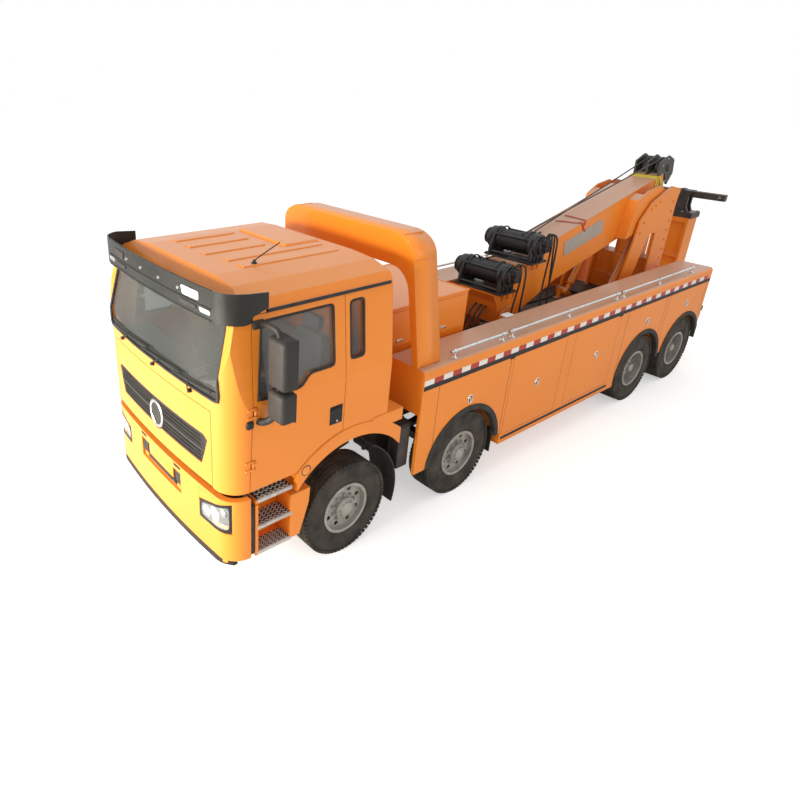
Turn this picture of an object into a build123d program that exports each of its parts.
"""Heavy 8x4 recovery truck: cab-over tractor, locker body, luffing boom and a
folding underlift.  Millimetres, +Z up, the front faces -Y and +X is the
vehicle's left.  Lengths along Y are measured from the first axle while the
pieces are made; write() then moves them so that the overall length is centred
on Y = 0 with the wheels standing on Z = 0."""
from build123d import *
import math
import os

# ---------------------------------------------------------------- sizes
# overall
front_overhang = 1500        # first axle to the bumper's face
half_width = 1250            # outer face of the locker body

# wheels and axles
tyre_r = 543
tyre_w = 300
rim_r = 290                  # outer radius of the rim's flange
rim_wall = 14
tyre_gap = 38                # between the two tyres of a twin wheel
axle_gap_front = 1800        # first to second steered axle
axle_gap_long = 4200         # second to third axle
axle_gap_rear = 1400         # third to fourth axle
axle_1 = 0
axle_2 = axle_1 + axle_gap_front
axle_3 = axle_2 + axle_gap_long
axle_4 = axle_3 + axle_gap_rear
front_tyre_out = 1205        # outer side wall of a steered tyre
rear_tyre_out = 1222         # outer side wall of a twin's outer tyre
kingpin_x = 862
kingpin_r = 26
hub_r = 118
spindle_r = 46
run_fit = 0.05               # radial clearance of pins and spindles
part_gap = 6                 # between pieces that move past each other
seat_gap = 0.4               # between a moving piece and what it rests on

# chassis
rail_out = 430               # outer face of a chassis rail
rail_flange = 85
rail_web = 12
rail_h = 290
rail_top = 1050
rail_front = -1330
rail_rear = 7840

# cab
cab_w = 1240                 # half width
cab_front = -1500            # centre of the front face
cab_bow = 70                 # how far the front face bows
cab_corner_r = 230
cab_rear = 440
cab_bottom = 1290
cab_floor = 1460
cab_wall = 55
floor_t = 50
shoulder_z = 2130            # under the windows
drip_z = 2920
roof_z = 3120
roof_side_z = 3010
cab_top_in = 85              # how far the sides lean in at the drip rail
screen_base_z = 2170
screen_top_z = 2900
screen_top_back = 190        # top of the screen behind its base
cab_pivot = (-1290, 900)     # y, z of the tilt pins
cab_pin_r = 35
cab_arm_x = 440              # inner face of the cab's tilt arms
cab_arm_t = 40
roof_rise_back = 330         # where the roof reaches its height

# bumper and steps
bumper_top = 1214
bumper_bottom = 550
bumper_rear = -1215
bumper_t = 60

# locker body
body_front = 950
body_rear = 8000
body_top = 1870
body_in = 720                # inner face of the side boxes
skin_t = 40
skirt_z = 430
skirt_front = 2530
front_low_z = 600
rear_low_z = 810
arch_r = 670
stripe_z = 1640              # top of the locker doors

# deck and wrecker frame
subrail_top = rail_top + 160
deck_z = subrail_top + 40
plate_in, plate_t = 450, 30  # mast plates
ped_in, ped_t = 300, 34      # pedestal ears
luff_base = (6416, 1300)     # y, z
luff_x = 328

# boom
boom_pivot = (3750, 1620)    # y, z
boom_half = 250
boom_depth = 660
boom_slope = 13.6
boom_wall = 22
pin_r = 40

# ---------------------------------------------------------------- helpers


def block(x0, x1, y0, y1, z0, z1):
    """A box between its six faces."""
    return Pos((x0 + x1) / 2, (y0 + y1) / 2, (z0 + z1) / 2) * Box(
        abs(x1 - x0), abs(y1 - y0), abs(z1 - z0))


def side_prism(points, x0, x1):
    """A closed outline of (y, z) points, extruded from x0 to x1."""
    face = Plane.YZ * make_face(Polyline(*points, close=True))
    return Pos(min(x0, x1), 0, 0) * extrude(face, amount=abs(x1 - x0), dir=(1, 0, 0))


def front_prism(points, y0, y1):
    """A closed outline of (x, z) points, extruded from y0 to y1."""
    flat = make_face(Polyline(*[(x, 0, z) for x, z in points], close=True))
    return Pos(0, min(y0, y1), 0) * extrude(flat, amount=abs(y1 - y0), dir=(0, 1, 0))


def plan_prism(points, z0, z1):
    """A closed outline of (x, y) points, extruded from z0 to z1."""
    return Pos(0, 0, z0) * extrude(make_face(Polyline(*points, close=True)),
                                   amount=z1 - z0, dir=(0, 0, 1))


def rod_x(y, z, r, x0, x1):
    return Pos((x0 + x1) / 2, y, z) * Rot(0, 90, 0) * Cylinder(r, abs(x1 - x0))


def rod_y(x, z, r, y0, y1):
    return Pos(x, (y0 + y1) / 2, z) * Rot(90, 0, 0) * Cylinder(r, abs(y1 - y0))


def rod_z(x, y, r, z0, z1):
    return Pos(x, y, (z0 + z1) / 2) * Cylinder(r, abs(z1 - z0))


def rod_between(x, a, b, r):
    """A round bar in the plane X = x from a to b, both (y, z)."""
    length = math.dist(a, b)
    turn = math.degrees(math.atan2(b[1] - a[1], b[0] - a[0]))
    return (Pos(x, (a[0] + b[0]) / 2, (a[1] + b[1]) / 2) * Rot(turn, 0, 0)
            * Rot(90, 0, 0) * Cylinder(r, length))


def along(origin, slope, u, v):
    """(y, z) of a point u along and v above a line that climbs by slope."""
    c, s = math.cos(math.radians(slope)), math.sin(math.radians(slope))
    return (origin[0] + u * c - v * s, origin[1] + u * s + v * c)


def other_side(shape):
    return mirror(shape, about=Plane.YZ)


def pair(shape):
    """The shape and its mirror image on the other side."""
    return [shape, other_side(shape)]


nodes = {}


def add(name, *shapes):
    """Collect the solids of one node."""
    solids = []
    for shape in shapes:
        for one in (shape if isinstance(shape, (list, tuple)) else [shape]):
            solids += list(one.solids())
    nodes[name] = solids


# ---------------------------------------------------------------- wheels


def tyre(x_out, y):
    """A tyre whose outer wall is at x_out: tread, shoulders and side walls."""
    w, r, bead = tyre_w, tyre_r, rim_r - 18
    profile = [(bead, 0.10 * w), (rim_r + 4, 0.095 * w), (rim_r + 30, 0.03 * w), (0.72 * r, 0.0), (r - 50, 0.03 * w),
               (r, 0.11 * w), (r, 0.89 * w), (r - 50, 0.97 * w), (0.72 * r, w), (rim_r + 30, 0.97 * w),
               (rim_r + 4, 0.905 * w), (bead, 0.90 * w)]
    face = make_face(Polyline(*[(d, 0, rr) for rr, d in profile], close=True))
    ring = revolve(face, axis=Axis.X, revolution_arc=360)
    return Pos(x_out - w, y, tyre_r) * ring


def rim(x_out, y, disc_in, hub_len, twin=False):
    """A disc wheel: barrel, flanges, dished disc with hand holes, hub."""
    w = tyre_w
    bead = rim_r - 18
    barrel = [(bead - rim_wall, 0.02 * w), (rim_r, 0.02 * w), (rim_r, 0.085 * w), (bead - 0.3, 0.085 * w),
              (bead - 0.3, 0.915 * w), (rim_r, 0.915 * w), (rim_r, 0.98 * w), (bead - rim_wall, 0.98 * w)]
    face = make_face(Polyline(*[(d, 0, rr) for rr, d in barrel], close=True))
    body = Pos(x_out - w, y, tyre_r) * revolve(face, axis=Axis.X, revolution_arc=360)
    disc_x = x_out - disc_in
    disc = rod_x(y, tyre_r, bead - rim_wall + 2, disc_x - 16, disc_x)
    for i in range(8):
        a = math.radians(45 * i + 22.5)
        disc -= rod_x(y + 205 * math.cos(a), tyre_r + 205 * math.sin(a), 27, disc_x - 30, disc_x + 10)
    hub = rod_x(y, tyre_r, hub_r, disc_x - hub_len, disc_x + 45)
    return body + disc + hub


steered = [                  # node stem, side (+1 left), axle y
    ("axle1_left", 1, axle_1),
    ("axle1_right", -1, axle_1),
    ("axle2_left", 1, axle_2),
    ("axle2_right", -1, axle_2),
]
driven = [
    ("axle3_left", 1, axle_3),
    ("axle3_right", -1, axle_3),
    ("axle4_left", 1, axle_4),
    ("axle4_right", -1, axle_4),
]
front_disc_in = 60           # disc behind the tyre's outer wall, steered wheels
rear_disc_in = 150           # the same on the twins: dished inwards
knuckle_half = 62            # half the knuckle's block, and half its height
knuckle_rise = 75
fork_half = 50               # half the axle fork's width, and its end past the pin
fork_reach = math.hypot(fork_half, fork_half) + part_gap
spindle_end = front_tyre_out - front_disc_in + 20

for stem, side, y in steered:
    hub_len = 150
    t = tyre(front_tyre_out, y)
    w = rim(front_tyre_out, y, front_disc_in, hub_len)
    w -= rod_x(y, tyre_r, spindle_r + run_fit, front_tyre_out - front_disc_in - hub_len - 5, spindle_end + 5)
    k = block(kingpin_x - knuckle_half, kingpin_x + knuckle_half, y - knuckle_half, y + knuckle_half,
              tyre_r - knuckle_rise, tyre_r + knuckle_rise)
    k += rod_x(y, tyre_r, spindle_r, kingpin_x, spindle_end)
    k += rod_x(y, tyre_r, 100, kingpin_x + fork_reach, kingpin_x + fork_reach + 28)
    k += block(kingpin_x - 30, kingpin_x + 30, y + 50, y + 210, tyre_r - 70, tyre_r - 35)
    k -= rod_z(kingpin_x, y, kingpin_r + run_fit, tyre_r - 200, tyre_r + 200)
    if side < 0:
        t, w, k = other_side(t), other_side(w), other_side(k)
    add("tyre_" + stem, t)
    add("rim_" + stem, w)
    add("knuckle_" + stem, k)

inner_out = rear_tyre_out - tyre_w - tyre_gap
stub_r = 62
for stem, side, y in driven:
    t_out, t_in = tyre(rear_tyre_out, y), tyre(inner_out, y)
    w = rim(rear_tyre_out, y, rear_disc_in, 120)
    w += rim(inner_out, y, tyre_w - rear_disc_in + 60, 60)
    hub_x = rear_tyre_out - rear_disc_in
    w += rod_x(y, tyre_r, hub_r, inner_out - tyre_w + 30, hub_x)
    w -= rod_x(y, tyre_r, stub_r + run_fit, inner_out - tyre_w - 5, hub_x + 20)
    if side < 0:
        t_out, t_in, w = other_side(t_out), other_side(t_in), other_side(w)
    add("tyres_" + stem, t_out, t_in)
    add("rims_" + stem, w)

# ---------------------------------------------------------------- chassis
web_in = rail_out - rail_web
rail = block(web_in, rail_out, rail_front, rail_rear, rail_top - rail_h, rail_top)
for z in (rail_top - rail_web, rail_top - rail_h):
    rail += block(rail_out - rail_flange, rail_out, rail_front, rail_rear, z, z + rail_web)
frame = rail + other_side(rail)
cross_members = [            # y, half length along Y
    (rail_front + 40, 40),
    (620, 45),
    (2650, 45),
    (3900, 45),
    (5200, 45),
    ((axle_3 + axle_4) / 2, 60),
    (7490, 45),
]
for y, half in cross_members:
    frame += block(-web_in - 1, web_in + 1, y - half, y + half, rail_top - 190, rail_top - 40)
# the cab's tilt pins in front and its rests behind
for side in (1, -1):
    frame += rod_x(*cab_pivot, cab_pin_r, side * (rail_out - 5), side * (cab_arm_x + cab_arm_t + 6))
    frame += block(side * (rail_out - rail_flange), side * rail_out, cab_rear - 200, cab_rear - 120, rail_top - 1, cab_floor - seat_gap)
frame += block(-rail_out, rail_out, rail_front, rail_front + 90, cab_pivot[1] - 40, cab_pivot[1] + 40) - block(
    -web_in, web_in, rail_front - 5, rail_front + 95, cab_pivot[1] - 45, cab_pivot[1] + 45)
add("chassis_frame", frame)

engine_half = 330
engine = block(-engine_half, engine_half, -1050, 350, rail_top - rail_h - 60, 1425)
foot_half_x = rail_out - rail_flange - seat_gap
for y in (-700, 100):
    engine += block(-foot_half_x, foot_half_x, y - 50, y + 50, rail_top - 60, rail_top)
add("engine_block", engine)

# steered axles: a dropped beam between two forked ends round the kingpins
beam_half_y = 55
axles = []
for y in (axle_1, axle_2):
    beam = block(-690, 690, y - beam_half_y, y + beam_half_y, 430, 530)
    fork_y = (y - fork_half, y + fork_half)
    end = block(670, kingpin_x + fork_half, *fork_y, 360, tyre_r - knuckle_rise - seat_gap)
    end += block(670, 745, *fork_y, 360, tyre_r + 160)
    end += block(700, kingpin_x + fork_half, *fork_y, tyre_r + knuckle_rise + seat_gap, tyre_r + 160)
    end += rod_z(kingpin_x, y, kingpin_r, 365, tyre_r + 155)
    axles.append(beam + end + other_side(end))
# driven axles: banjo housing with a tube to each hub
for y in (axle_3, axle_4):
    housing = rod_x(y, tyre_r, 105, -(inner_out - tyre_w - 12), inner_out - tyre_w - 12)
    housing += chamfer((rod_x(y, tyre_r, 240, -150, 150)).edges().filter_by(GeomType.CIRCLE), 90)
    housing += rod_x(y, tyre_r, stub_r, -(rear_tyre_out - rear_disc_in - 5), rear_tyre_out - rear_disc_in - 5)
    axles.append(housing)
add("axle_beams", axles)

# leaf springs: stacks under the rails with hangers
spring_x0, spring_x1 = rail_out - 85, rail_out
spring_base = {"front": 530 + seat_gap, "rear": tyre_r + 105 + seat_gap}
springs = []
for y in (axle_1, axle_2):
    half = 720
    leaf = side_prism([(y - half, spring_base["front"] + 150), (y - 80, spring_base["front"]), (y + 80, spring_base["front"]),
                       (y + half, spring_base["front"] + 150), (y + half, spring_base["front"] + 190),
                       (y + 80, spring_base["front"] + 60), (y - 80, spring_base["front"] + 60),
                       (y - half, spring_base["front"] + 190)], spring_x0, spring_x1)
    for end in (y - half + 40, y + half - 40):
        leaf += block(spring_x0, spring_x1, end - 35, end + 35, spring_base["front"] + 150, rail_top - rail_h)
    springs += pair(leaf)
add("leaf_springs", springs)

# rear bogie springs: one long stack each side over both axles
bogie_y = (axle_3 + axle_4) / 2
bz = spring_base["rear"]
bogie_x0, bogie_x1 = rail_out + 4, rail_out + 84
stack = side_prism([(axle_3 - 60, bz), (axle_3 + 60, bz), (bogie_y, bz + 60), (axle_4 - 60, bz), (axle_4 + 60, bz),
                    (axle_4 + 60, bz + 40), (bogie_y + 120, bz + 190), (bogie_y - 120, bz + 190),
                    (axle_3 - 60, bz + 40)], bogie_x0, bogie_x1)
stack += block(rail_out, bogie_x1, bogie_y - 120, bogie_y + 120, bz + 150, rail_top - 40)
nodes["leaf_springs"] += [s for one in pair(stack) for s in one.solids()]

# ---------------------------------------------------------------- cab


def cab_plan(inset, z0, z1, back=cab_rear):
    """Plan of the cab: flat sides, a bowed front and round front corners."""
    w, f, b = cab_w - inset, cab_front + inset, back - inset
    front = ThreePointArc((-w, f + cab_bow), (0, f), (w, f + cab_bow))
    rest = Polyline((w, f + cab_bow), (w, b), (-w, b), (-w, f + cab_bow))
    face = make_face([front, rest])
    corners = [v for v in face.vertices() if v.Y < 0]
    face = fillet(corners, max(cab_corner_r - inset, 20))
    return Pos(0, 0, z0) * extrude(face, amount=z1 - z0, dir=(0, 0, 1))


def cab_form(inset, bottom):
    """The cab's outer form moved in by inset, standing on bottom."""
    f, t = cab_front, screen_top_back
    side = [(f + inset, bottom - 1), (f + inset, screen_base_z), (f + t + inset, screen_top_z),
            (f + roof_rise_back, roof_z - inset), (cab_rear - inset - 60, roof_z - inset),
            (cab_rear - inset, roof_z - 140 - inset), (cab_rear - inset, bottom - 1)]
    w, wt = cab_w - inset, cab_w - cab_top_in - inset
    outline = [(w, bottom - 1), (w, shoulder_z), (wt, drip_z), (wt - 45, roof_side_z + 10 - inset),
               (wt - 230, roof_z - 25 - inset), (wt - 520, roof_z - inset)]
    outline += [(-x, z) for x, z in reversed(outline)]
    form = cab_plan(inset, bottom, roof_z + 10)
    form &= side_prism(side, -cab_w - 10, cab_w + 10)
    form &= front_prism(outline, cab_front - 10, cab_rear + 10)
    return form


cab_outer = cab_form(0, cab_bottom)
cab_hollow = cab_form(cab_wall, cab_floor + floor_t)
cab_under = cab_plan(cab_wall, cab_bottom - 20, cab_floor)
skin = cab_outer - cab_hollow - cab_under

cab_arch_r = 880             # opening of the cab's wheel arch
flare_band = 150
sill_cut = rod_x(axle_1, tyre_r, cab_arch_r + 8, -cab_w - 20, cab_w + 20)
skin -= sill_cut

# doors: the front and rear seams lean, the lower edge follows the wheel arch
door_front_low, door_front_top = -1225, -1150
door_rear = -160
door_top = drip_z - 15
seam = part_gap
door_inner_x = cab_w - 240
arch_line = cab_arch_r + flare_band


def door_zone(grow):
    pts = [(door_front_low - grow, cab_bottom - 10), (door_front_top - grow, door_top + grow),
           (door_rear + grow, door_top + grow), (door_rear + grow, cab_bottom - 10)]
    zone = side_prism(pts, door_inner_x - grow, cab_w + 20)
    return zone - rod_x(axle_1, tyre_r, arch_line - grow, door_inner_x - 50, cab_w + 30)


wall = cab_outer - cab_form(cab_wall, cab_bottom - 5)
door_left = wall & door_zone(0)
door_hole = door_zone(seam) - block(0, cab_w - cab_wall - 3 * part_gap, cab_front, cab_rear, cab_floor, cab_floor + floor_t)
skin_open = skin - door_hole - other_side(door_hole)

# windows: the door's own, the quarter window behind it and the screen
win_front, win_step, win_rear = -1085, -640, -290
win_low_front, win_low_rear, win_top = 2170, 2275, 2845
door_win = side_prism([(win_front - 60, win_low_front), (win_front + 25, win_top), (win_rear, win_top),
                       (win_rear, win_low_rear), (win_step + 60, win_low_rear), (win_step - 40, win_low_front)],
                      door_inner_x - 10, cab_w + 20)
glass_t = 8


def pane(zone, depth):
    """A sheet of glass in a window: the cab's skin between two depths."""
    return (cab_form(depth, cab_floor) - cab_form(depth + glass_t, cab_floor - 30)) & zone


door_glass = pane(door_win, 22) & door_zone(0)
door_left -= door_win
handle_y0, handle_y1, handle_z0, handle_z1, handle_depth = -330, -185, 1668, 1860, 24
scoop = block(cab_w - handle_depth, cab_w + 10, handle_y0, handle_y1, handle_z0, handle_z1)
door_left -= fillet(scoop.edges().filter_by(Axis.X), 20)
door_left += block(cab_w - handle_depth - 5, cab_w - 4, handle_y0 - 5, handle_y1 + 5, handle_z1 - 60, handle_z1 - 25)
# two hinges a door, on an axis that leans with the seam: the door's sleeve turns on the cab's pin
hinge_x, hinge_y, hinge_z = cab_w - 2, -1172, 2000
seam_lean = (door_front_top - door_front_low) / (door_top - cab_bottom + 10)
hinge_pin_r, hinge_sleeve_r, hinge_pocket_r = 7, 13, 24
hinge_lugs = []

def hinge_bar(zc, half, r):
    """A round bar on the door's hinge axis, from half below the height zc to half above it."""
    a, b = zc - half, zc + half
    return rod_between(hinge_x, (hinge_y + (a - hinge_z) * seam_lean, a), (hinge_y + (b - hinge_z) * seam_lean, b), r)

for zc in (1560, 2075):
    y = hinge_y + (zc - hinge_z) * seam_lean
    door_left -= hinge_bar(zc, 55, hinge_pocket_r)
    sleeve = hinge_bar(zc, 22, hinge_sleeve_r)
    sleeve += block(hinge_x - 14, hinge_x + 4, y, y + 45, zc - 20, zc + 20)
    door_left += sleeve - hinge_bar(zc, 60, hinge_pin_r + run_fit)
    lug = hinge_bar(zc, 45, hinge_pin_r)
    for z0, z1 in ((zc - 50, zc - 28), (zc + 28, zc + 50)):
        lug += block(hinge_x - 6, hinge_x + 12, y - 80, y + 8, z0, z1)
    hinge_lugs += pair(lug)
add("door_left", door_left)
add("door_right", other_side(door_left))
add("door_glass_left", door_glass)
add("door_glass_right", other_side(door_glass))

quarter_front, quarter_rear, quarter_low, quarter_top = -95, 75, 2285, 2835
quarter_win = side_prism([(quarter_front, quarter_low), (quarter_front, quarter_top), (quarter_rear, quarter_top),
                          (quarter_rear, quarter_low)], 900, cab_w + 20)
screen_half_low, screen_half_top = cab_w - 135, cab_w - 180
screen_win = front_prism([(-screen_half_low, screen_base_z + 10), (screen_half_low, screen_base_z + 10),
                          (screen_half_top, screen_top_z - 35), (-screen_half_top, screen_top_z - 35)],
                         cab_front - 20, cab_front + 420)
skin_open -= quarter_win
skin_open -= other_side(quarter_win)
skin_open -= screen_win

# the front flap under the screen, with the grille in it
flap_top, flap_bottom, flap_half = 2060, cab_bottom + 2 * part_gap, cab_w - 255
flap_zone = block(-flap_half, flap_half, cab_front - 20, cab_front + cab_bow + 75, flap_bottom, flap_top)
flap_gap_zone = block(-flap_half - seam, flap_half + seam, cab_front - 20, cab_front + cab_bow + 75,
                      cab_bottom - 10, flap_top + seam)
flap = wall & flap_zone
skin_open -= flap_gap_zone
grille_low, grille_high = 1470, 1790
grille_half_low, grille_half_top = cab_w - 410, cab_w - 310
grille_zone = front_prism([(-grille_half_low, grille_low), (grille_half_low, grille_low), (grille_half_top, grille_high - 40),
                           (grille_half_top - 60, grille_high), (-grille_half_top + 60, grille_high),
                           (-grille_half_top, grille_high - 40)], cab_front - 20, cab_front + cab_bow + 75)
flap -= grille_zone
add("front_flap", flap)
grille = (cab_plan(4, grille_low - 20, grille_high + 20) - cab_plan(40, grille_low - 30, grille_high + 30)) & grille_zone
slot_rows, slot_pitch, slot_h, slot_depth = 7, 40, 24, 16
for i in range(slot_rows):
    z = grille_low + 20 + slot_pitch * i
    grille -= block(-grille_half_low + 10, grille_half_low - 10, cab_front - 20, cab_front + cab_bow + 20, z, z + slot_h) - cab_plan(
        slot_depth, z - 5, z + slot_h + 5)
ring_z, ring_in, ring_out = 1600, 108, 138
grille += rod_y(0, ring_z, ring_out + 14, cab_front + 14, cab_front + 38)
grille += rod_y(0, ring_z, ring_out, cab_front + 1, cab_front + 20) - rod_y(0, ring_z, ring_in, cab_front - 5, cab_front + 25)
flap -= rod_y(0, ring_z, ring_out + 14 + seat_gap, cab_front - 20, cab_front + 100)
nodes["front_flap"] = list(flap.solids())
add("grille", grille)

# wheel arch flares of the cab, carried by its lower side walls
flare = rod_x(axle_1, tyre_r, arch_line - 2 * part_gap, 1010, cab_w + 10) - rod_x(axle_1, tyre_r, cab_arch_r, 1000, cab_w + 20)
flare &= block(1000, cab_w + 20, -705, 662, 1085, 1600)
flare -= rod_x(axle_1, tyre_r, arch_line - 60, 1000, cab_w - 45)
rear_guard = block(1040, cab_w + 10, cab_rear - 200, 662, 1420, 1560) - rod_x(axle_1, tyre_r, cab_arch_r, 1000, cab_w + 20)
flare = flare + rear_guard
flare -= block(0, cab_w - cab_wall, cab_front, cab_rear, cab_floor, 1700)
# two arms under the floor reach down to the tilt pins
tilt_arm = side_prism([(cab_pivot[0] - 55, cab_pivot[1] - 25), (cab_pivot[0] + 40, cab_pivot[1] - 45), (-1040, 1150),
                       (-1040, cab_floor + 2), (-1130, cab_floor + 2), (-1130, 1200)], cab_arm_x, cab_arm_x + cab_arm_t)
tilt_arm += rod_x(*cab_pivot, 60, cab_arm_x, cab_arm_x + cab_arm_t)
tilt_arm -= rod_x(*cab_pivot, cab_pin_r + run_fit, cab_arm_x - 5, cab_arm_x + cab_arm_t + 5)
for one in pair(flare) + pair(tilt_arm):
    skin_open += one
for lug in hinge_lugs:
    skin_open += lug
# buffers that the closed front flap rests on
for x in (-700, 700):
    rest = block(x - 25, x + 25, cab_front, cab_front + cab_bow + 120, cab_floor, cab_floor + floor_t)
    skin_open += rest & cab_plan(cab_wall + seat_gap, cab_floor - 5, cab_floor + floor_t + 5)
# raised ribs and a hatch on the roof, and a drip rail above each door
roof_ribs = [                # x from, x to, y from, y to, height above the roof
    (-620, 220, -120, 300, 22),
    (-635, -525, -920, -240, 10),
    (-355, -245, -920, -240, 10),
    (-55, 55, -920, -240, 10),
    (245, 355, -860, 240, 10),
    (495, 605, -860, 240, 10),
]
for x0, x1, y0, y1, rise in roof_ribs:
    rib = block(x0, x1, y0, y1, roof_z - 20, roof_z + rise)
    skin_open += chamfer(rib.edges().group_by(Axis.Z)[-1], rise - 4)
drip_x, drip_r = cab_w - cab_top_in + 2, 13
drip = rod_y(drip_x, drip_z + 12, drip_r, -1000, 400)
skin_open += drip
skin_open += other_side(drip)
add("cab_shell", skin_open)

screen_glass = pane(screen_win, 20)
quarter_glass = pane(quarter_win, 22)
add("cab_glass", screen_glass, pair(quarter_glass))

# sun visor: a curved shade in front of the head of the screen
visor_low, visor_high, visor_back, visor_t = 2870, 3130, 25, 12
visor = cab_plan(0, visor_low, visor_high) - cab_plan(visor_t, visor_low - 5, visor_high + 5)
visor &= block(-cab_w - 20, cab_w + 20, cab_front - 20, -1030, visor_low - 5, visor_high + 5)
visor = Pos(0, visor_back, 0) * visor
for x in (-700, 0, 700):
    visor += block(x - 20, x + 20, cab_front + 90, cab_front + 250, 2940, 2965)
visor -= block(-cab_w - 30, cab_w + 30, door_front_top - 30, cab_front + 600, visor_low - 10, door_top + 2 * part_gap)
for x0, x1 in ((-cab_w + 6, -cab_w + cab_top_in + 10), (cab_w - cab_top_in - 10, cab_w - 6)):
    visor += block(x0, x1, -1090, -1060, door_top + 20, door_top + 45)
visor -= cab_form(-seat_gap, cab_bottom)
add("sun_visor", visor)

# mirrors: one main head and one wide-angle head on two arms from each door
mirror_in, mirror_out = cab_w + 95, cab_w + 305
mirror_y0, mirror_y1 = -1085, -950
mirror_round = 38            # rounding of the housings
mirror_heads = [             # x outer, z from, z to
    (mirror_out, 2350, 2790),
    (mirror_out - 20, 2045, 2320),
]
arm_x, arm_y = mirror_in + 65, (mirror_y0 + mirror_y1) / 2 - 20
mirror_left = rod_z(arm_x, arm_y, 18, 2300, 2360)
for x1, z0, z1 in mirror_heads:
    mirror_left += fillet(block(mirror_in, x1, mirror_y0, mirror_y1, z0, z1).edges(), mirror_round)
mirror_left += rod_x(arm_y - 20, 2835, 20, cab_w - 95, arm_x + 20) + rod_z(arm_x + 10, arm_y - 20, 20, 2770, 2845)
mirror_left += rod_x(arm_y, 2030, 24, cab_w - 30, arm_x) + rod_z(arm_x - 10, arm_y, 22, 2015, 2075)
mirror_left -= cab_form(-seat_gap, cab_bottom)
add("mirror_left", mirror_left)
add("mirror_right", other_side(mirror_left))

# inside: two seats, a bunk behind them, the dashboard and the steering wheel
floor_top = cab_floor + floor_t
inside = []
for x in (-620, 620):
    inside.append(block(x - 240, x + 240, -620, -130, floor_top + seat_gap, floor_top + 420))
    inside.append(block(x - 230, x + 230, -130 + seat_gap, -10, floor_top + 330, floor_top + 1010))
inside.append(block(-1050, 1050, 30, 370, floor_top + seat_gap, floor_top + 520))
inside.append(block(-250, 250, -1380, -1050, floor_top + seat_gap, floor_top + 330 - seat_gap))
dash = (block(-1130, 1130, -1390, -980, floor_top + 330, 2120) & cab_plan(cab_wall + 4, 1500, 2300))
wheel_x, wheel_r, wheel_y, wheel_z, wheel_lean = 560, 225, -960, 2090, 60
place = Pos(wheel_x, wheel_y, wheel_z) * Rot(wheel_lean, 0, 0)
steering = place * Torus(wheel_r, 17) + place * Cylinder(45, 60) + place * Box(2 * wheel_r, 40, 14)
post = rod_between(wheel_x, (wheel_y - 100, wheel_z - 70), (wheel_y, wheel_z - 5), 32)
add("cab_interior", inside, dash + steering + post)

# ---------------------------------------------------------------- bumper, lamps, steps
bumper = cab_plan(0, bumper_bottom, bumper_top) - cab_plan(bumper_t, bumper_bottom - 5, bumper_top + 5)
bumper &= block(-cab_w - 60, cab_w + 60, cab_front - 60, bumper_rear, bumper_bottom - 5, bumper_top + 5)
brackets = block(rail_out - rail_flange, rail_out - 5, cab_front + bumper_t - 10, rail_front, rail_top - 240, rail_top - 40)
lamp_x0, lamp_x1, lamp_z0, lamp_z1 = cab_w - 480, cab_w - 60, 850, 1180
lamp_zone = block(lamp_x0, lamp_x1, cab_front - 60, bumper_rear - 60, lamp_z0, lamp_z1)
lamp = (cab_plan(2, lamp_z0, lamp_z1) - cab_plan(bumper_t + 30, lamp_z0 - 5, lamp_z1 + 5)) & block(
    lamp_x0 + seat_gap, lamp_x1 - seat_gap, cab_front - 60, bumper_rear - 61, lamp_z0 + seat_gap, lamp_z1 - seat_gap)
bowls = [                    # x, z, radius of each lamp bowl
    (cab_w - 385, 1085, 70),
    (cab_w - 255, 1040, 88),
    (cab_w - 375, 935, 60),
]
for x, z, r in bowls:
    y = cab_front + cab_bow * (x / cab_w) ** 2
    cup = Pos(x, y + 20, z) * Rot(-90, 0, 0) * Cone(0.3 * r, r, 48)
    lamp -= cup & (cab_plan(6, lamp_z0, lamp_z1))
bumper -= lamp_zone
bumper -= other_side(lamp_zone)
lip = cab_plan(2, bumper_bottom - 34, bumper_bottom + 12) - cab_plan(bumper_t, bumper_bottom - 40, bumper_bottom + 20)
bumper += lip & block(-cab_w + 100, cab_w - 100, cab_front - 60, bumper_rear - 40, bumper_bottom - 40, bumper_bottom + 20)
recesses = [                 # x from, x to, z from, z to, depth
    (300, 430, 1168, 1198, 22),
    (-430, -300, 1168, 1198, 22),
]
for x0, x1, z0, z1, depth in recesses:
    bumper -= block(x0, x1, cab_front - 60, cab_front + cab_bow + 5, z0, z1) - cab_plan(depth, z0 - 5, z1 + 5)
plate_zone = block(-430, 430, cab_front - 60, cab_front + 34, 900, 1130)
bumper -= plate_zone
bumper += brackets
bumper += other_side(brackets)
add("front_bumper", bumper)
tail_lamp = block(half_width - 320, half_width - 15, body_rear, body_rear + 90, 960, 1080)
add("lamps", pair(lamp), pair(tail_lamp))

step_front, step_back, step_in, step_wall = -1165, -735, cab_w - 255, 30
tread_end = step_back - 30   # the treads stop short of the tilting cab's flare
tread_z = [(1170, 0), (870, 40), (580, 80)]     # top of each tread, how far its inner edge stands back
steps = block(step_in, step_in + step_wall, step_front, tread_end, 560, 1170)
steps += block(step_in, cab_w, step_front, step_front + step_wall, 560, 1120)
steps += side_prism([(tread_end - 5, 560), (tread_end - 5, 1060), (step_back + 200, 1060),
                     (step_back + 190, 900), (step_back + 85, 560)], step_in, cab_w)
for z, back in tread_z:
    steps += block(step_in, cab_w, step_front, tread_end, z - 35, z)
strut = block(rail_out, step_in + 5, step_front + 120, step_front + 200, 800, 880)
add("cab_steps", pair(steps + strut))

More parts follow.
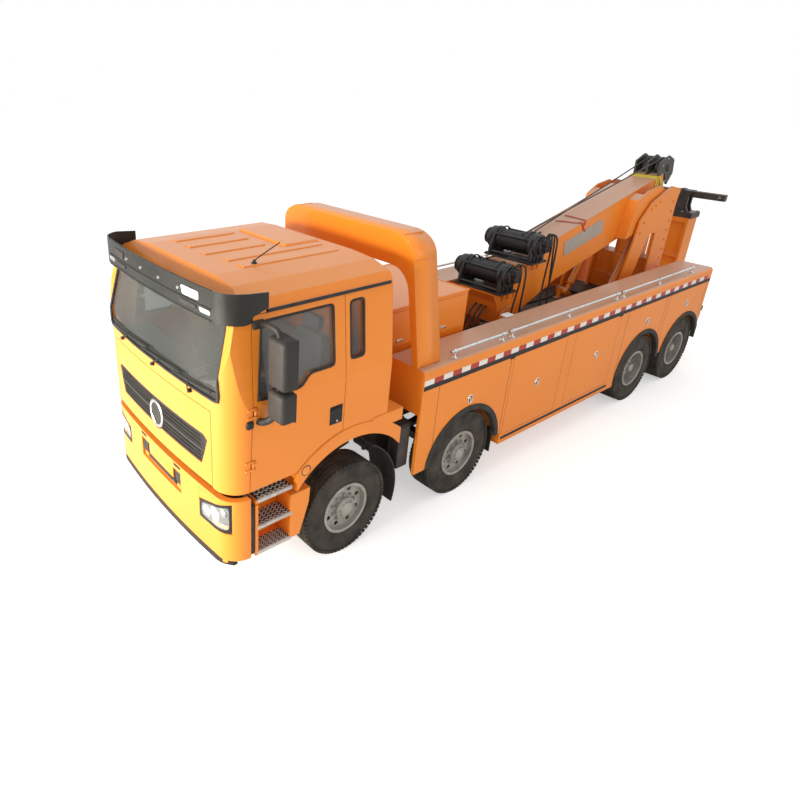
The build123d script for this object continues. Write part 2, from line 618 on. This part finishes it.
# ---------------------------------------------------------------- locker body
side_outline = [(body_front, front_low_z), (body_front, body_top), (body_rear, body_top), (body_rear, rear_low_z),
                (axle_4, rear_low_z - 160), (axle_3, rear_low_z - 160), (axle_3 - 500, skirt_z),
                (skirt_front, skirt_z), (skirt_front - 1, front_low_z)]
box = side_prism(side_outline, body_in, half_width)
for y in (axle_2, axle_3, axle_4):
    box -= rod_x(y, tyre_r, arch_r, body_in - 10, half_width + 10)
# the front of the box is only a skirt below the cab's rear corner
box -= block(body_in - 10, half_width - skin_t, body_front - 10, axle_2 - 250, 400, 1340)
# lockers: pocket between a rear wall, a floor and a roof, and its door's opening
lockers = [                  # name, y front, y rear, z low
    ("locker_mid", 2560, 3720, 560),
    ("locker_rear", 3930, 5100, 560),
]
frame_lip = 45
door_edge_gap = part_gap
for name, y0, y1, z0 in lockers:
    box -= block(body_in + 60, half_width - skin_t - 1, y0 + frame_lip, y1 - frame_lip, z0 + frame_lip, stripe_z - frame_lip)
    box -= block(half_width - skin_t, half_width + 10, y0, y1, z0, stripe_z)
    box -= block(body_in + 60, half_width, y0 + frame_lip, y1 - frame_lip, z0 + frame_lip, stripe_z - frame_lip)
    panel = block(half_width - skin_t + seat_gap, half_width, y0 + door_edge_gap, y1 - door_edge_gap,
                  z0 + door_edge_gap, stripe_z - door_edge_gap)
    add(name + "_left", panel)
    add(name + "_right", other_side(panel))
top_edge = [e for e in box.edges() if abs(e.center().Z - body_top) < 1 and abs(e.center().X - half_width) < 1]
box = fillet(top_edge, 55)
add("side_boxes", pair(box))

# arch trims and mud flaps
trims = []
for y, y_end in ((axle_2, axle_2 + 700), (axle_3, axle_3 + 700), (axle_4, body_rear)):
    ring = rod_x(y, tyre_r, arch_r - seat_gap, half_width - 55, half_width + 12) - rod_x(
        y, tyre_r, arch_r - 65, half_width - 60, half_width + 20)
    ring &= block(half_width - 60, half_width + 20, y - 700, min(y + 700, y_end), tyre_r + 60, 1400)
    trims += pair(ring)
# mud flaps hang inside the arches, and the first wheel has a guard behind it
flap_t, flap_low, flap_x0, flap_x1 = 12, 320, half_width - 380, half_width - 62
flap_top = 650
arch_at_flap = math.sqrt(arch_r ** 2 - (flap_top - tyre_r) ** 2)
y = axle_2 + arch_at_flap - seat_gap
flaps = pair(block(flap_x0, flap_x1, y - flap_t, y, flap_low, flap_top))
rear_flap_top = tyre_r + math.sqrt(arch_r ** 2 - (body_rear - axle_4) ** 2) - seat_gap
flaps += pair(block(flap_x0, flap_x1, body_rear - flap_t, body_rear, flap_low, rear_flap_top))
guard_r, guard_t = 715, 12
guard_x0, guard_x1 = half_width - 450, half_width - 55
guard = rod_x(axle_1, tyre_r, guard_r + guard_t, guard_x0, guard_x1) - rod_x(axle_1, tyre_r, guard_r, guard_x0 - 10, guard_x1 + 10)
guard &= block(guard_x0 - 10, guard_x1 + 10, axle_1 + 330, axle_1 + guard_r + 20, 330, 1250)
guard += block(rail_out, guard_x0 + 5, axle_1 + guard_r - 70, axle_1 + guard_r - 20, 840, 890)
add("arch_rubbers", trims, flaps, pair(guard))

# deck between the boxes: floor, tank and the equipment cabinet behind the cab
deck = block(-body_in + seat_gap, body_in - seat_gap, body_front, 7430, subrail_top, deck_z)
deck_slots = [               # x from, x to, y from, y to: both sides
    (plate_in - 2, plate_in + plate_t + 2, 7280, 7440),
    (luff_x - 75, plate_in + 4, luff_base[0] - 320, luff_base[0] + 320),
    (ped_in - 20, plate_in + 2, 3470, 4160),
]
for x0, x1, y0, y1 in deck_slots:
    deck -= block(x0, x1, y0, y1, subrail_top - 5, deck_z + 5)
    deck -= block(-x1, -x0, y0, y1, subrail_top - 5, deck_z + 5)
tank_top = 1640
tank = block(380, 690, 4850, 5900, deck_z, tank_top)
tank += rod_z(520, 5020, 62, tank_top - 5, tank_top + 14) + rod_z(520, 5020, 50, tank_top, tank_top + 48)
tank += rod_z(550, 5660, 28, tank_top - 5, tank_top + 20) + rod_z(550, 5660, 18, tank_top, tank_top + 75)
add("deck_floor", deck, tank)
cabinet_half, cabinet_front, cabinet_rear, cabinet_top = 640, 800, 2320, 2360
cabinet = fillet(block(-cabinet_half, cabinet_half, cabinet_front, cabinet_rear, deck_z, cabinet_top).edges().group_by(Axis.Z)[-1], 14)
for y0, y1 in ((860, 1500), (1560, 2260)):
    cabinet += block(-cabinet_half - 10, cabinet_half + 10, y0, y1, body_top + 30, cabinet_top - 50)
add("front_cabinet", cabinet)

# hoop: a bent arch over the body behind the cab
hoop_half, hoop_t, hoop_top, hoop_r = 1150, 235, 3270, 430


def arch_sheet(half, top, radius, y0, y1):
    sk = make_face(Polyline(*[(-half, 0, body_top - 200), (-half, 0, top), (half, 0, top), (half, 0, body_top - 200)], close=True))
    sk = fillet([v for v in sk.vertices() if v.Z > body_top], radius)
    return Pos(0, y0, 0) * extrude(sk, amount=y1 - y0, dir=(0, 1, 0))


hoop = arch_sheet(hoop_half, hoop_top, hoop_r, 600, 1500) - arch_sheet(hoop_half - hoop_t, hoop_top - hoop_t, hoop_r - 150, 590, 1510)
hoop &= side_prism([(1010, body_top), (1370, body_top), (1130, hoop_top + 10), (800, hoop_top + 10)], -hoop_half - 10, hoop_half + 10)
hoop = fillet(hoop.edges().filter_by(lambda e: e.center().Z > body_top + 5), 22)
add("hoop", hoop)

# rails along the box tops
rail_x, rail_z, rail_rod = half_width - 85, body_top + 75, 17
rails = []
for y0, y1 in ((1450, 2430), (2500, 5050), (5120, 7420)):
    one = rod_y(rail_x, rail_z, rail_rod, y0, y1)
    posts = 2 if y1 - y0 < 1200 else 3
    for i in range(posts):
        y = y0 + 60 + (y1 - y0 - 120) * i / (posts - 1)
        one += rod_z(rail_x, y, rail_rod - 4, body_top, rail_z)
        one += rod_z(rail_x, y, 34, body_top, body_top + 10)
    rails += pair(one)
add("side_rails", rails)

# ---------------------------------------------------------------- wrecker frame
mast_outline = [(7290, deck_z - 200), (7850, deck_z - 200), (7850, 2800), (7900, 3050), (7560, 3120), (7000, 2900),
                (6730, 2630), (6400, deck_z), (6690, deck_z), (7146, 2383), (7348, 2383), (7348, deck_z), (7290, deck_z)]
mast_plate = side_prism(mast_outline, plate_in, plate_in + plate_t)
subrail = block(plate_in - 60, plate_in + plate_t, 3300, 7850, rail_top, subrail_top)
ear = side_prism([(3560, rail_top + 100), (3560, 1700), (3680, 1760), (3820, 1760), (3950, 1700), (4050, rail_top + 100)],
                 ped_in, ped_in + ped_t)
ear += block(ped_in, plate_in, 3480, 4150, rail_top + 100, rail_top + 160)
half_frame = mast_plate + subrail + ear
column_back, column_half, column_top = 7850, 200, 2330
slide_column = block(-plate_in - 5, plate_in + 5, 7440, column_back, rail_top + 10, 1500)
slide_column += block(-column_half, column_half, 7560, column_back, 800, column_top)
wrecker = half_frame + other_side(half_frame)
wrecker += block(-plate_in, plate_in, 7480, 7800, 1500, 1900)
wrecker += slide_column
wrecker += block(-plate_in, plate_in, 3560, 3640, rail_top, rail_top + 120)
wrecker += rod_x(*boom_pivot, pin_r, -ped_in - ped_t - 20, ped_in + ped_t + 20)

# ---------------------------------------------------------------- boom
boom_end = (7000, 3117)      # upper rear corner of the outer boom
foot_half = 282


def boom_pt(u, v):
    """u back from the outer boom's end along it (negative is forwards), v up."""
    return along(boom_end, boom_slope, u, v)


platform_1, platform_2 = 1990, 2320
outer_len = 2330
outline = [boom_pt(0, 0), boom_pt(0, -boom_depth), boom_pt(-2300, -boom_depth), (3930, 1520), (3620, 1500),
           (3470, 1850), (3380, platform_1 - 20), (3380, platform_1), (3860, platform_1), (3860, platform_2),
           (4480, platform_2), boom_pt(-outer_len, 0)]
boom = side_prism(outline, -boom_half, boom_half)
boom += side_prism([(3470, 1850), (3380, platform_1 - 20), (3380, platform_1), (3860, platform_1), (3860, platform_1 - 20),
                    (3950, 1500), (3600, 1500)], -foot_half, foot_half)
bore_len = 2150
inner_half, inner_h, slide_gap = 215, 590, 8
bore = side_prism([boom_pt(10, -boom_wall), boom_pt(-bore_len, -boom_wall), boom_pt(-bore_len, -boom_depth + boom_wall),
                   boom_pt(10, -boom_depth + boom_wall)], -boom_half + boom_wall, boom_half - boom_wall)
boom -= bore
boom -= rod_x(*boom_pivot, pin_r + run_fit, -foot_half - 10, foot_half + 10)
eye = (7420, 2950)
cheek_out = plate_in - 22
cheek = side_prism([boom_pt(-700, -boom_depth + 60), boom_pt(-60, -boom_depth + 40), (7330, 2780), (7500, 2900),
                    (7480, 3060), (7250, 3140), boom_pt(-120, 0), boom_pt(-400, -60)], cheek_out - 24, cheek_out)
cheek_root = side_prism([boom_pt(-700, -boom_depth + 60), boom_pt(-330, -boom_depth + 50), boom_pt(-200, -30), boom_pt(-400, -60)],
                        boom_half - 1, cheek_out)
boom += cheek + cheek_root + other_side(cheek) + other_side(cheek_root)
pockets = [                  # y from, y to, z from, z to, outer face
    (3500, 3600, 1862, 1962, foot_half),
    (3625, 3725, 1862, 1962, foot_half),
    (3750, 3850, 1862, 1962, foot_half),
    (3900, 4000, 2190, 2290, boom_half),
    (4030, 4130, 2190, 2290, boom_half),
    (4160, 4260, 2190, 2290, boom_half),
    (4290, 4390, 2190, 2290, boom_half),
]
pocket_t, plate_rise = 14, 5
for y0, y1, z0, z1, face in pockets:
    for side in (1, -1):
        boom -= block(side * (face - pocket_t), side * (face + 5), y0, y1, z0, z1)
name_plate = side_prism([(5020, 2330), (6010, 2570), (5970, 2730), (4980, 2490)], boom_half - 1, boom_half + plate_rise)
boom += name_plate + other_side(name_plate)
boom += rod_x(*eye, 50, cheek_out - 24, cheek_out + 10) + rod_x(*eye, 50, -cheek_out - 10, -cheek_out + 24)
add("boom_outer", boom)

gap_v = boom_wall + slide_gap
inner_end = 760
inner = side_prism([boom_pt(inner_end, -gap_v), boom_pt(-1750, -gap_v), boom_pt(-1750, -boom_depth + gap_v),
                    boom_pt(inner_end - 150, -boom_depth + gap_v), boom_pt(inner_end, -boom_depth + gap_v + 160)],
                   -inner_half, inner_half)
for v0, v1 in ((-boom_wall - seat_gap, -gap_v - 1), (-boom_depth + gap_v + 1, -boom_depth + boom_wall + seat_gap)):
    inner += side_prism([boom_pt(-1750, v0), boom_pt(-1650, v0), boom_pt(-1650, v1), boom_pt(-1750, v1)],
                        -inner_half + 20, inner_half - 20)
add("boom_inner", inner)

head_w = 210
head_pts = [boom_pt(inner_end - 160, -gap_v), boom_pt(inner_end + 40, -gap_v), boom_pt(inner_end + 160, -260),
            boom_pt(inner_end + 330, -120), boom_pt(inner_end + 330, 110), boom_pt(inner_end + 160, 230),
            boom_pt(inner_end - 120, 190)]
sheave_c = boom_pt(inner_end + 150, 20)
head = None
for x in (-head_w, -15, head_w - 30):
    cheek_plate = side_prism(head_pts, x, x + 30)
    head = cheek_plate if head is None else head + cheek_plate
head -= side_prism([boom_pt(inner_end, -gap_v), boom_pt(inner_end - 400, -gap_v), boom_pt(inner_end - 400, -600),
                    boom_pt(inner_end, -600)], -head_w - 5, head_w + 5)
head += rod_x(*sheave_c, 45, -head_w - 12, head_w + 12)
for x in (-105, 105):
    head += rod_x(*sheave_c, 150, x - 30, x + 30)
add("sheave_head", head)

# winches on the boom's two platforms
winch_half, winch_up, frame_x = 480, 240, 300
winches = []
for y, base in ((3557, platform_1), (4171, platform_2)):
    zc = base + winch_up
    one = rod_x(y, zc, 118, -frame_x, frame_x)
    for x in (-frame_x, -10, frame_x - 20):
        one += rod_x(y, zc, 160, x, x + 20)
    outline = [(y - 175, base + seat_gap), (y + 175, base + seat_gap), (y + 165, base + 120), (y + 120, base + 350),
               (y + 60, base + 400), (y - 60, base + 400), (y - 120, base + 350), (y - 165, base + 120)]
    for x in (-frame_x - 45, frame_x):
        one += side_prism(outline, x, x + 45)
    one += block(-frame_x - 45, frame_x + 45, y - 175, y + 175, base + seat_gap, base + 22)
    for dy, dz, r in ((-140, 60, 22), (140, 60, 22), (-125, 320, 16), (110, 335, 16)):
        one += rod_x(y + dy, base + dz, r, -frame_x - 20, frame_x + 20)
    one += rod_x(y, zc, 150, frame_x + 40, frame_x + 75) + rod_x(y, zc, 105, frame_x + 70, frame_x + 130)
    one += rod_x(y, zc, 70, frame_x + 125, winch_half) + block(frame_x + 100, winch_half, y - 45, y + 45, zc + 40, zc + 115)
    one += rod_x(y, zc, 150, -frame_x - 110, -frame_x - 40) + rod_x(y, zc, 120, -winch_half, -frame_x - 105)
    winches.append(one)
add("winches", winches)

# luffing cylinders beside the boom, inside the mast's plates
barrel_r, rod_r = 60, 40
luff_len = math.dist(luff_base, eye)
ly, lz = (eye[0] - luff_base[0]) / luff_len, (eye[1] - luff_base[1]) / luff_len


def on_luff(d):
    return (luff_base[0] + ly * d, luff_base[1] + lz * d)


barrel = rod_between(luff_x, on_luff(150), on_luff(luff_len - 330), barrel_r) + rod_x(*luff_base, 68, luff_x - 40, luff_x + 40)
barrel += rod_between(luff_x, on_luff(45), on_luff(160), 38)
barrel -= rod_between(luff_x, on_luff(190), on_luff(luff_len), rod_r + run_fit)
barrel -= rod_x(*luff_base, pin_r + run_fit, luff_x - 60, luff_x + 60)
add("luff_barrels", pair(barrel))
rod = rod_between(luff_x, on_luff(200), on_luff(luff_len - 60), rod_r) + rod_x(*eye, 68, luff_x - 32, luff_x + 32)
add("luff_rods", pair(rod))
luff_pin = rod_x(*luff_base, pin_r, luff_x - 48, plate_in + 2)
base_lug = side_prism([(luff_base[0] - 90, rail_top + 100), (luff_base[0] - 60, luff_base[1] + 60),
                       (luff_base[0] + 60, luff_base[1] + 60), (luff_base[0] + 150, rail_top + 100)], luff_x + 46, plate_in + 2)
for s in pair(luff_pin + base_lug):
    wrecker += s
add("wrecker_frame", wrecker)

# ---------------------------------------------------------------- underlift
fold = (9235, 850)           # hinge of the folding arm
slide_face = column_back + seat_gap
carriage = block(-300, 300, slide_face, slide_face + 130, 620, 1420)
carriage += side_prism([(slide_face + 100, 1300), (slide_face + 100, 660), (fold[0] - 60, 700), (fold[0], 700),
                        (fold[0], 1000), (8500, 1040)], -200, 200)
carriage += rod_x(*fold, 150, -200, 200)
lug_pin = rod_x(*fold, pin_r, -295, 295)
carriage += lug_pin
add("underlift_carriage", carriage)

arm_half, arm_y0, arm_y1, arm_z0, arm_z1 = 290, 9060, 9410, 1060, 2390
arm = block(-arm_half, arm_half, arm_y0, arm_y1, arm_z0, arm_z1)
stinger_half = 185
arm -= block(-stinger_half - 6, stinger_half + 6, arm_y0 + 70, arm_y1 - 35, arm_z0 + 60, arm_z1 + 5)
for s in (-1, 1):
    arm += side_prism([(fold[0] - 140, fold[1] - 60), (fold[0], fold[1] - 150), (fold[0] + 140, fold[1] - 60),
                       (arm_y1, arm_z0 + 5), (arm_y0, arm_z0 + 5)], s * (200 + part_gap), s * arm_half)
arm -= rod_x(*fold, pin_r + run_fit, -arm_half - 5, arm_half + 5)
for z0, z1 in ((1180, 1650), (1700, 2300)):
    arm -= block(-arm_half + 45, arm_half - 45, arm_y0 - 5, arm_y0 + 45, z0, z1)
add("underlift_arm", arm)

stinger = block(-stinger_half, stinger_half, arm_y0 + 76, arm_y1 - 41, arm_z0 + 200, arm_z1 + 60)
flange_z = arm_z1 + seat_gap
stinger += block(-320, 320, arm_y0, arm_y1, flange_z, flange_z + 100)
bar_z, bar_half, bar_t = 2800, 710, 55
swivel_y = (arm_y0 + arm_y1) / 2 + 25
neck_t = 45
for y0 in (swivel_y - bar_t - part_gap - neck_t, swivel_y + bar_t + part_gap):
    stinger += front_prism([(-210, flange_z + 50), (210, flange_z + 50), (150, flange_z + 190), (150, 2740), (190, 2860),
                            (-190, 2860), (-150, 2740), (-150, flange_z + 190)], y0, y0 + neck_t)
stinger += rod_y(0, bar_z, pin_r, swivel_y - bar_t - part_gap - neck_t - 15, swivel_y + bar_t + part_gap + neck_t + 15)
add("underlift_stinger", stinger)
bar = block(-bar_half, bar_half, swivel_y - bar_t, swivel_y + bar_t, bar_z - bar_t, bar_z + bar_t)
bar += rod_y(0, bar_z, 85, swivel_y - bar_t, swivel_y + bar_t)
bar -= rod_y(0, bar_z, pin_r + run_fit, swivel_y - 200, swivel_y + 200)
fork_x, fork_hole_r = 620, 25
for x in (-fork_x, fork_x):
    bar -= rod_y(x, bar_z, fork_hole_r, swivel_y - 200, swivel_y + 200)
add("crossbar", bar)

# ---------------------------------------------------------------- write
rear_reach = arm_y1
y_shift = (front_overhang - rear_reach) / 2
os.makedirs("parts", exist_ok=True)
for name, solids in nodes.items():
    placed = [Pos(0, y_shift, 0) * s for s in solids]
    shape = placed[0] if len(placed) == 1 else Compound(placed)
    export_step(shape, "parts/" + name + ".step")
print(len(nodes), "nodes")
